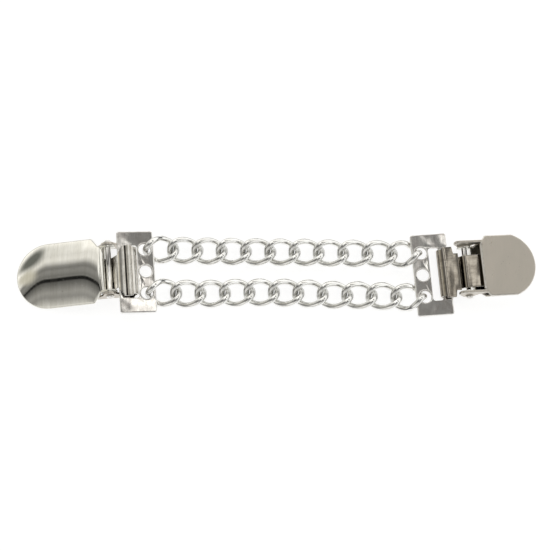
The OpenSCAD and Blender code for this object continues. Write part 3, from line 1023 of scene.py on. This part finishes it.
            # Shade painted into the crease next to the loop.
            in_shaded_crease = place.z > self.loop_h and self.crease_shade[0] < place.x < self.crease_shade[1]
            rings.append(draft.ring(points, -1.0 if in_shaded_crease else 0.0))
            for j in range(edge):
                draft.wear_and_shade[rings[-1][columns + 1 + j]] = draft.wear_and_shade[rings[-1][j - edge]] = self.edge_wear
        draft.bridge(rings, forward=False)
        for ring, step in ((rings[0], 1), (rings[-1], -1)):
            half = columns + 1 + edge
            top, low = ring[:columns + 1], ring[half:half + columns + 1][::-1]
            faces = [(top[k], top[k + 1], low[k + 1], low[k]) for k in range(columns)]
            faces.append((top[-1], *ring[columns + 1:half], low[-1]))
            faces.append((low[0], *ring[half + columns + 1:], top[0]))
            draft.faces += [f[::step] for f in faces]
        self.deliver(draft, self.end.clip(), "strip_sheet", self.end.strip_finish, "strip", "spring_steel",
                     "spring_strip")


@dataclass
class BackPlate(EndPiece):
    """D-shaped plate with two ears for the pin."""

    width: float = 19.4
    reach: float = 21.1
    end_r: float = 10.3
    neck_x: float = 3.9
    neck_y: float = 7.1
    shoulder_x: float = 5.6
    lug_r: float = 2.1
    edge_round: float = 0.42
    neck_round: float = 0.72
    neck_run: float = 0.35
    inner_round: float = 0.25
    least_wall: float = 0.02
    neck_corner: float = 0.3
    shoulder_corner: float = 0.8
    ear_foot: tuple[Point, ...] = ((-2.9, 0.02), (7.6, 0.02), (7.6, 0.7), (2.9, 2.9))
    ear_back: tuple[Point, ...] = ((-3.7, 2.6), (-3.7, 0.8))
    lug_turn: float = 155

    def _outline(self) -> list[Point]:
        """Plan of the plate.

        Returns:
            The outline, counter-clockwise.
        """
        half, cap = self.width / 2, self.reach - self.end_r
        meet = math.degrees(math.asin(half / self.end_r))
        lower = rounded_corners([(self.neck_x, 0, 0), (self.neck_x, -self.neck_y, self.neck_corner),
                                 (self.shoulder_x, -half, self.shoulder_corner), (cap, -half, 0)], 0.2)[1:-1]
        upper = [(x, -y) for x, y in reversed(lower)]
        return resampled(lower + arc((cap, 0), self.end_r, -meet, meet, 0.25) + upper, 0.5)

    def build(self) -> None:
        """Build and dress the plate with its ears; its neck is rounded wider."""
        outline = self._outline()
        draft = MeshDraft()
        shares = [min(1.0, max(0.0, (self.neck_x + self.neck_run - x) / self.neck_run)) for x, _ in outline]
        under = [self.edge_round + (self.neck_round - self.edge_round) * share for share in shares]
        over = [min(self.inner_round, self.back_thk - r - self.least_wall) for r in under]
        draft.slab(outline, [], 0.0, self.back_thk, under, over)
        side = [*self.ear_foot, *arc((0, self.pin_h), self.lug_r, 0, self.lug_turn), *self.ear_back]
        draft.ears(resampled(side, 0.6), self.pin_hole(self.pin_h), self.back_thk,
                   (-self.back_ear_y - self.back_thk, self.back_ear_y))
        self.deliver(draft, self.end.ears(), "back_sheet", Finish.SATIN, "jaw", "satin_nickel", "back_plate")


@dataclass
class PivotPin(EndPiece):
    """Tubular rivet that carries the cover."""

    shank_y: float = 8.4
    head_d: float = 2.6
    head_h: float = 0.9
    head_edge: float = 0.12
    shank_edge: float = 0.05
    dimple_r: float = 0.55
    dimple_d: float = 0.25
    dimple: tuple[Point, ...] = ((0.72, 0.1), (0.45, 0.22))
    sides: int = 40
    dome_steps: int = 7

    def build(self) -> None:
        """Build and dress the pin."""
        end, r, head = self.shank_y, self.pin_d / 2, self.head_d / 2
        edge, dimple = self.head_edge, self.dimple_r
        half = [(r, 0.0), (r, end - self.shank_edge), (head - edge, end), (head, end + edge)]
        half += [(dimple + (head - dimple) * math.cos(a), end + edge + (self.head_h - edge) * math.sin(a))
                 for a in quarter(self.dome_steps)[1:]]
        half += [(dimple * share, end + self.head_h - depth) for share, depth in self.dimple]
        draft = MeshDraft()
        around = [2 * math.pi * k / self.sides for k in range(self.sides)]
        rings = [draft.ring((radius * math.cos(a), y, self.pin_h + radius * math.sin(a)) for a in around)
                 for radius, y in [(radius, -y) for radius, y in reversed(half[1:])] + half]
        draft.bridge(rings, forward=False)
        tip = end + self.head_h - self.dimple_d
        draft.fan(rings[0], (0, -tip, self.pin_h))
        draft.fan(rings[-1][::-1], (0, tip, self.pin_h))
        self.deliver(draft, self.end.ears(), "rivet", Finish.RIVET, "jaw", "rivet_steel", "pivot_pin")


@dataclass
class Cover(EndPiece):
    """Domed lever that closes over the jaw, with its heights above the pin axis.

    A corner with two sizes has its rounding on the outer skin and the least that it is rounded on the inner
    one.
    """

    crown_r: float = 26.0
    crown_h: float = 2.65
    depth: float = 2.9
    neck_x: float = 1.1
    neck_y: float = 7.45
    lip_low: float = -0.7
    roll_r: float = 1.6
    shoulder_in: float = 2.9
    shoulder_out: float = 5.1
    lug_r: float = 1.9
    rim_round: float = 0.5
    rim_soft: float = 0.12
    sag: float = 0.4
    sag_run: float = 5.6
    neck_corner: Point = (0.3, 0.06)
    waist_corner: float = 0.4
    shoulder_corner: Point = (0.9, 0.1)
    rim_least: float = 0.12
    rim_wear: float = 0.9
    near_wear: tuple[tuple[int, float], ...] = ((3, 0.3), (9, 0.12))
    edge_run: float = 0.3
    ear_gap: float = 0.01
    ear_corners: tuple[Point, ...] = ((-2.2, -0.9), (-2.2, 1.0), (-1.0, 1.45), (1.5, 1.45), (2.9, 1.15),
                                      (2.9, -0.23), (1.5, -1.5))
    skin_step: float = 0.35
    corner_steps: int = 6
    cap_steps: int = 72
    rim_steps: int = 4
    rim_rings: int = 12
    wall_rows: tuple[float, ...] = (0.0, 0.06, 0.5, 0.94)
    dome_rings: int = 26
    dome_gather: float = 1.15

    def __post_init__(self) -> None:
        """Take the size of the end's own cover."""
        self.width, self.reach = self.end.cover_size
        self.cap_x = self.reach - self.width / 2

    def _corners(self, depth: float) -> list[Point]:
        """Plan of the cover's skin.

        Args:
            depth: How far it is set in from the outer skin.

        Returns:
            The outline, counter-clockwise.
        """
        half, neck = self.width / 2 - depth, self.neck_y - depth
        slant = math.atan2(self.width / 2 - self.neck_y, self.shoulder_out - self.shoulder_in)
        shift = depth * math.tan(slant / 2)
        neck_r, shoulder_r = (max(r - depth, least) for r, least in (self.neck_corner, self.shoulder_corner))
        lower = rounded_corners([(self.neck_x + depth, 0, 0), (self.neck_x + depth, -neck, neck_r),
                                 (self.shoulder_in + shift, -neck, self.waist_corner + depth),
                                 (self.shoulder_out + shift, -half, shoulder_r),
                                 (self.cap_x, -half, 0)], count=self.corner_steps)[1:-1]
        upper = [(x, -y) for x, y in reversed(lower)]
        return lower + arc((self.cap_x, 0), half, -90, 90, count=self.cap_steps) + upper

    def _top(self, x: float, y: float, depth: float) -> float:
        """Height of a skin above the pin axis, with the roll at the neck.

        Args:
            x: Distance from the pin axis towards the tip.
            y: Distance from the middle.
            depth: How far the skin is set in from the outer one.

        Returns:
            The height.
        """
        radius, roll = self.crown_r - depth, self.roll_r - depth
        out = abs(y) if x < self.cap_x else math.hypot(x - self.cap_x, y)
        into = max(0.0, self.neck_x + self.roll_r - x)
        drop = roll - math.sqrt(max(0.0, roll ** 2 - into ** 2))
        drop += self.sag * max(0.0, (self.neck_x + self.roll_r + self.sag_run - x) / self.sag_run) ** 2
        return self.crown_h - self.crown_r + math.sqrt(radius ** 2 - out ** 2) - drop

    def _skin(self, depth: float) -> list[list[Vector]]:
        """One skin of the dome as rings from its rim to its crown.

        Args:
            depth: How far it is set in from the outer skin.

        Returns:
            The rings; the last one holds the crown's single point.
        """
        outline = resampled(self._corners(depth), self.skin_step, self._corners(0.0))
        low_side, neck, side_y = self.crown_h - self.depth, self.neck_x + depth, self.neck_y - depth
        rounding = max(self.rim_round - depth, self.rim_least)
        moves, rounds, lows = [], [], []
        for (x, y), (nx, ny) in zip(outline, inset(outline, [1.0] * len(outline))):
            back = min(1.0, max(0.0, (self.shoulder_in - x) / (self.shoulder_in - neck)))
            edge = min(1.0, max(0.0, (neck + self.edge_run - x) / self.edge_run))
            beside = ((self.roll_r - depth) * back, -rounding * y / side_y)
            free = (rounding * (nx - x), rounding * (ny - y))
            moves.append(tuple(f + (b - f) * back ** 0.5 for f, b in zip(free, beside)))
            rounds.append(rounding * (1 - edge))
            lows.append(low_side + (self.lip_low - low_side) * edge)
        rows = [[(x, y, low + self.rim_soft + (self._top(x, y, depth) - r - low - self.rim_soft) * part)
                 for (x, y), r, low in zip(outline, rounds, lows)] for part in self.wall_rows]
        for a in quarter(self.rim_rings):
            places = [(x + mx * (1 - math.cos(a)), y + my * (1 - math.cos(a)))
                      for (x, y), (mx, my) in zip(outline, moves)]
            rows.append([(x, y, self._top(x, y, depth) - r * (1 - math.sin(a)))
                         for (x, y), r in zip(places, rounds)])
        edge_row, cap = rows[-1], self.cap_x
        for k in range(1, self.dome_rings):
            t = 1 - (k / self.dome_rings) ** self.dome_gather
            rows.append([(cap + (x - cap) * t, y * t, self._top(cap + (x - cap) * t, y * t, depth))
                         for x, y, _ in edge_row])
        rows.append([(cap, 0.0, self._top(cap, 0.0, depth))])
        return [[Vector(p) for p in row] for row in rows]

    def _shell(self) -> MeshDraft:
        """Dome of sheet: outer skin, rounded rim and inner skin.

        Returns:
            The draft.
        """
        draft = MeshDraft()
        outer, inner = self._skin(0.0), self._skin(self.cover_thk)
        turns = quarter(self.rim_steps)
        rim = []
        for near, far, angles in ((outer[0], inner[0], turns), (inner[0], outer[0], turns[::-1])):
            for a in angles:
                share = self.rim_soft * (1 - math.cos(a)) / self.cover_thk
                drop = Vector((0, 0, self.rim_soft * math.sin(a)))
                rim.append([p.lerp(Vector((q.x, q.y, p.z)), share) - drop for p, q in zip(near, far)])
        lowest = len(inner) - 2
        rings = []
        for n, row in enumerate(inner[-2:0:-1] + rim[::-1] + outer[1:-1]):
            from_rim = min(abs(n - lowest), abs(n - lowest - len(rim)))
            on_rim = lowest <= n <= lowest + len(rim)
            near = next((wear_and_shade for reach, wear_and_shade in self.near_wear if from_rim < reach), 0.0)
            rings.append(draft.ring(row, self.rim_wear if on_rim else near))
        draft.bridge(rings)
        draft.fan(rings[-1], outer[-1][0])
        draft.fan(rings[0][::-1], inner[-1][0])
        return draft

    def build(self) -> None:
        """Build and dress the cover with its ears."""
        place = self.end.ears() @ Matrix.Translation((0, 0, self.pin_h)) @ turn("Y", self.end.cover_slope)
        self.deliver(self._shell(), place, "lever_shell", Finish.NICKEL, "lever", "polished_nickel", "cover")
        side = convex_outline([*arc((0, 0), self.lug_r, 0, 359), *self.ear_corners])
        draft = MeshDraft()
        draft.ears(resampled(side, 0.5), self.pin_hole(0), self.cover_thk - 2 * self.ear_gap,
                   (self.ear_gap - self.cover_ear_y - self.cover_thk, self.ear_gap + self.cover_ear_y))
        self.deliver(draft, place, "lever_ears", Finish.NICKEL, "lever", "polished_nickel")


class Strand(Enum):
    """The two chain strands, with the side of the middle hole they leave from."""

    UPPER = 1
    LOWER = -1


@dataclass(frozen=True)
class EndLink:
    """How a link that passes through a plate lies: height, roll, dip, turn and twist."""

    lie: float
    roll: float
    dip: float
    turn: float
    twist: float


@dataclass
class ChainStrand:
    """One strand of twisted curb links, from hole to hole."""

    strand: Strand
    count: int = 11
    wire: float = 1.95
    link_a: float = 4.835
    link_b: float = 3.6
    twist: float = 45.0
    lie: float = 2.35
    rise: float = 0.9
    end_pull: float = 0.3
    first: EndLink = EndLink(2.85, 9.7, 8.0, 3.6, 71.5)
    last: EndLink = EndLink(2.8, -1.0, -8.0, 1.1, 80.0)
    upper_sway: tuple[float, ...] = (0.3, 0.2, 0.1, 0.1, 0.1, 0.1, 0.1, 0.0, 0.0, 0.0, -0.1)
    lower_sway: tuple[float, ...] = (0.3, 0.2, 0.3, 0.7, 0.9, 0.9, 0.7, 0.4, 0.4, 0.2, -0.1)

    def _ends(self) -> dict[int, EndLink]:
        """The two end links by number."""
        return {0: self.first, self.count - 1: self.last}

    def _hole(self, end: End) -> Vector:
        """Centre of the hole that the strand starts or ends in."""
        across = Vector((0, self.strand.value * SlotPlate.hole_pitch, 0))
        return Vector(end.hole) + turn("Z", end.heading % 180) @ across

    def centre(self, i: int) -> Vector:
        """Centre of link i.

        Args:
            i: Number of the link from the left, from 0.

        Returns:
            Its centre in millimetres.
        """
        a, b = self._hole(LEFT_END), self._hole(RIGHT_END)
        start = self.link_a + self.end_pull
        x = a.x + start + i * (b.x - a.x - 2 * start) / (self.count - 1)
        sway = (self.upper_sway if self.strand is Strand.UPPER else self.lower_sway)[i]
        lie = self._ends()[i].lie if i in self._ends() else self.lie
        return Vector((x, a.y + (b.y - a.y) * (x - a.x) / (b.x - a.x) + sway, lie))

    def angles(self, i: int) -> Triple:
        """Way that link i is turned.

        Args:
            i: Number of the link from the left, from 0.

        Returns:
            Its roll, dip and turn in radians.
        """
        link = self._ends().get(i)
        if link:
            return math.radians(link.roll), math.radians(link.dip), math.radians(link.turn)
        step = self.centre(i + 1) - self.centre(i - 1)
        return 0.0, 0.0, math.atan2(step.y, step.x)

    @staticmethod
    @cache
    def link_tree() -> NodeTree:
        """Tree that turns one seed point per link into its bent wire.

        Returns:
            The tree, made on the first call and found again on the next.
        """
        link_points, wire_points, squareness = 72, 20, 0.7
        # The last two values paint shade near the ends of each link, where the links meet.
        change, shade_from, shade_at_tip = 0.4, 0.82, -0.3
        tree, given, out = Tree.group("curb_links", "Geometry", {
            "Geometry": "Geometry", "Half length": "Float", "Half width": "Float", "Rise": "Float",
            "Wire": "Float", "Material": "Material"}, {"Geometry": "Geometry"})

        def read(name: str, kind: str = "FLOAT") -> Socket:
            """Read a value of the seed points.

            Args:
                name: Its name.
                kind: Its data type.

            Returns:
                The value.
            """
            found = tree.node("GeometryNodeInputNamedAttribute", {"data_type": kind}, Name=name)
            return next(s for s in found.outputs if s.enabled and s.name == "Attribute")

        spread = tree.node("GeometryNodeInstanceOnPoints", Points=given["Geometry"],
                           Instance=tree.circle(1.0, link_points))
        real = tree.step("RealizeInstances", spread.outputs[0])
        angle = tree.mul(tree.node("GeometryNodeSplineParameter").outputs["Factor"], 2 * math.pi)
        cosine, sine = tree.maths("COSINE", angle), tree.maths("SINE", angle)
        is_left = tree.ramp(cosine, change, -change, smooth=True)
        twist = tree.add(tree.mul(is_left, read("twist_left")),
                         tree.mul(tree.maths("SUBTRACT", 1.0, is_left), read("twist_right")))
        phi = tree.mul(cosine, twist, -1.0)
        flat_side = tree.maths("POWER", tree.maths("ABSOLUTE", sine), squareness)
        across = tree.mul(tree.maths("SIGN", sine), flat_side, given["Half width"])
        bent = tree.node("ShaderNodeCombineXYZ", X=tree.mul(cosine, given["Half length"]),
                         Y=tree.mul(across, tree.maths("COSINE", phi)),
                         Z=tree.mul(across, given["Rise"], tree.maths("SINE", phi)))
        turned = tree.node("ShaderNodeVectorRotate", {"rotation_type": "EULER_XYZ"}, Vector=bent.outputs[0],
                           Rotation=read("angles", "FLOAT_VECTOR"))
        place = tree.node("ShaderNodeVectorMath", {"operation": "ADD"}, in_0=turned.outputs[0],
                          in_1=read("centre", "FLOAT_VECTOR"))
        laid = tree.step("SetPosition", real, Position=place.outputs[0])
        # Painted shade near each link's ends, where it meets the next links.
        soil = tree.ramp(tree.maths("ABSOLUTE", cosine), shade_from, 1.0, (0.0, shade_at_tip))
        marked = tree.node("GeometryNodeStoreNamedAttribute", {"data_type": "FLOAT", "domain": "POINT"},
                           Geometry=laid, Name="wear_and_shade", Value=soil)
        body = tree.node("GeometryNodeCurveToMesh", Curve=marked.outputs[0],
                         Profile_Curve=tree.circle(tree.mul(given["Wire"], 0.5), wire_points))
        whole = tree.step("RealizeInstances", tree.step("SetShadeSmooth", body.outputs[0]))
        tree.fill(out["Geometry"], tree.step("SetMaterial", whole, Material=given["Material"]))
        return tree.tree

    def build(self) -> None:
        """Build and dress the strand."""
        name, links, material = self.strand.name.lower(), range(self.count), Finish.CHAIN.value.build()
        seeds = MeshDraft()
        seeds.ring(self.centre(i) for i in links)
        made = seeds.piece(f"{name}_strand", material)
        for label, tip, link in (("twist_left", 0, self.first), ("twist_right", self.count - 1, self.last)):
            twists = [math.radians(link.twist if i == tip else self.twist) for i in links]
            layer = made.data.attributes.new(label, "FLOAT", "POINT")
            layer.data.foreach_set("value", twists)
        for label, rows in (("angles", [self.angles(i) for i in links]),
                            ("centre", [self.centre(i) * MM for i in links])):
            layer = made.data.attributes.new(label, "FLOAT_VECTOR", "POINT")
            layer.data.foreach_set("vector", [v for row in rows for v in row])
        grow(made, self.link_tree(), {"Half length": self.link_a * MM, "Half width": self.link_b * MM,
                                      "Rise": self.rise, "Wire": self.wire * MM, "Material": material})
        hand_over(made, CHAIN_BODY, [f"{name}_link_{i + 1:02d}" for i in links])


@dataclass
class Studio:
    """White table, soft light and the photograph's viewpoint.

    The metal mirrors a bright room with soft bands, whose stops hold an angle in degrees and a brightness.
    The left bands arch, by so much a radian squared on each side of the arch's middle. They give way to the
    right bands, and these to a plain white side, between two angles. The patches are ovals of the room: the
    angles of the middle, how far the patch reaches each way, and its colour. The room is dark near the
    horizon.
    """

    elevation: float = 76.4
    distance: float = 380.0
    sensor: float = 36.0
    pixels_per_mm: float = 3.187
    frame_px: float = 551.0
    centre_px: Point = (275.5, 275.8)
    table_drop: float = 0.02
    table_size: float = 1500.0
    table_grey: float = 0.4
    table_glow: float = 0.8
    tint: Triple = (1.0, 0.985, 0.95)
    left_bands: tuple[Point, ...] = (
        (-90, 0.95), (-50, 0.95), (-36, 0.8), (-28, 0.5), (-22, 0.32), (-15, 0.4), (-9, 0.28), (-4, 0.18),
        (0.5, 0.12), (1.5, 0.01), (6, 0.01), (7, 0.28), (9, 0.2), (13, 0.27), (17, 0.3), (21, 0.22),
        (25, 0.33), (29, 0.68), (34, 1.0), (42, 0.95), (51, 1.3), (90, 1.4))
    right_bands: tuple[Point, ...] = (
        (-90, 0.95), (-30, 0.95), (-14, 0.35), (10, 0.2), (20, 0.26), (30, 0.2), (31.5, 1.5), (38.4, 1.6),
        (39.9, 0.2), (50, 0.24), (62, 1.1), (90, 1.2))
    arch_middle: float = 0.44
    arch_bend: Point = (1.1, 2.0)
    right_from: Point = (2.0, 8.0)
    side_from: Point = (44.0, 62.0)
    side_light: Triple = (1.15, 1.15, 1.14)
    patches: tuple[tuple[Point, Point, Triple], ...] = (
        ((-57.0, 16.0), (22.0, 20.0), (0.72, 0.69, 0.60)),
        ((-0.5, 15.0), (9.0, 17.0), (1.3, 1.3, 1.28)),
        ((-55.0, 46.0), (27.0, 22.0), (0.17, 0.175, 0.16)))
    patch_core: float = 0.3
    horizon: Point = (0.24, 0.12)
    horizon_light: Triple = (0.1, 0.1, 0.1)
    least_height: float = 0.02

    def camera(self) -> None:
        """Stand the camera at the photograph's angle."""
        data = bpy.data.cameras.new("camera")
        data.sensor_fit, data.sensor_width = "HORIZONTAL", self.sensor
        data.lens = self.pixels_per_mm * self.distance / self.frame_px * self.sensor
        data.shift_x = 0.5 - self.centre_px[0] / self.frame_px
        data.shift_y = self.centre_px[1] / self.frame_px - 0.5
        data.clip_start, data.clip_end = 0.01, 20.0
        high = math.radians(self.elevation)
        made = bpy.data.objects.new("camera", data)
        made.location = Vector((0, -math.cos(high), math.sin(high))) * self.distance * MM
        made.rotation_euler = Euler((math.pi / 2 - high, 0, 0), "XYZ")
        bpy.context.scene.collection.objects.link(made)
        bpy.context.scene.camera = made

    def table(self) -> None:
        """Lay a wide white table just under the part."""
        draft = MeshDraft()
        size = self.table_size
        corners = draft.ring((x * size, y * size, -self.table_drop)
                             for x, y in ((-1, -1), (1, -1), (1, 1), (-1, 1)))
        draft.faces.append(tuple(corners))
        material = bpy.data.materials.new("white_table")
        material.use_nodes = True
        shader = material.node_tree.nodes["Principled BSDF"].inputs
        grey = self.table_grey
        values = {"Base Color": (grey, grey, grey, 1.0), "Roughness": 0.9, "Specular IOR Level": 0.1,
                  "Emission Color": (1.0, 1.0, 1.0, 1.0), "Emission Strength": self.table_glow}
        for label, value in values.items():
            shader[label].default_value = value
        draft.piece("table", material)

    def sky(self) -> None:
        """Surround the part with a bright room that has soft dark bands for the metal to mirror."""
        world = bpy.data.worlds.new("room")
        bpy.context.scene.world = world
        world.use_nodes = True
        tree = Tree(world.node_tree)
        tree.tree.nodes.clear()
        ray = tree.node("ShaderNodeTexCoord").outputs["Generated"]
        x, y, z = tree.node("ShaderNodeSeparateXYZ", Vector=ray).outputs[:3]
        high = tree.maths("MAXIMUM", z, self.least_height)
        back, side = tree.maths("ARCTAN2", y, high), tree.maths("ARCTAN2", x, high)
        lean = tree.add(side, self.arch_middle)
        left, right = self.arch_bend
        steep = tree.maths("MULTIPLY_ADD", tree.maths("GREATER_THAN", lean, 0.0), right - left, left)
        level = tree.mul(tree.add(back, tree.mul(lean, lean, steep)), 180 / math.pi)
        side, back = tree.mul(side, 180 / math.pi), tree.mul(back, 180 / math.pi)
        lit = tree.blend(tree.ramp(side, *self.right_from), self._bands(tree, level, self.left_bands),
                         self._bands(tree, tree.add(side, back), self.right_bands))
        lit = tree.blend(tree.ramp(side, *self.side_from), lit, self.side_light)
        for middle, radii, colour in self.patches:
            dx = tree.maths("DIVIDE", tree.maths("SUBTRACT", side, middle[0]), radii[0])
            dy = tree.maths("DIVIDE", tree.maths("SUBTRACT", back, middle[1]), radii[1])
            apart = tree.maths("SQRT", tree.add(tree.mul(dx, dx), tree.mul(dy, dy)))
            lit = tree.blend(tree.ramp(apart, 1.0, self.patch_core, smooth=True), lit, colour)
        lit = tree.blend(tree.ramp(z, *self.horizon), lit, self.horizon_light)
        glow = tree.node("ShaderNodeBackground", Color=lit, Strength=1.0)
        tree.node("ShaderNodeOutputWorld", Surface=glow.outputs[0])

    def _bands(self, tree: Tree, level: Socket, stops: Sequence[Point]) -> Socket:
        """Bands of light and dark across the room.

        Args:
            tree: The world's tree.
            level: Angle that the bands follow, in degrees.
            stops: Angle and brightness of each stop, from -90 to 90 degrees.

        Returns:
            The colour.
        """
        bands = tree.node("ShaderNodeValToRGB", Fac=tree.ramp(level, -90.0, 90.0))
        colours = bands.color_ramp.elements
        colours[0].position, colours[1].position = 0.0, 1.0
        for angle, _ in stops[1:-1]:
            colours.new((angle + 90) / 180)
        for stop, (angle, light) in zip(colours, stops):
            stop.position = (angle + 90) / 180
            stop.color = (*(light * share for share in self.tint), 1.0)
        return bands.outputs[0]

    def build(self) -> None:
        """Build the whole studio."""
        self.camera()
        self.table()
        self.sky()
        view = bpy.context.scene.view_settings
        view.view_transform, view.look, view.exposure, view.gamma = "Standard", "None", 0.0, 1.0


def main() -> None:
    """Build every sub-assembly in order and report its pieces."""
    logging.basicConfig(level=logging.INFO, format="%(name)s: %(message)s")
    Studio().build()
    for end in (LEFT_END, RIGHT_END):
        for kind in (SlotPlate, SpringStrip, BackPlate, PivotPin):
            kind(end).build()
    for end in (LEFT_END, RIGHT_END):
        Cover(end).build()
    for strand in Strand:
        ChainStrand(strand).build()


if __name__ == "__main__":
    main()
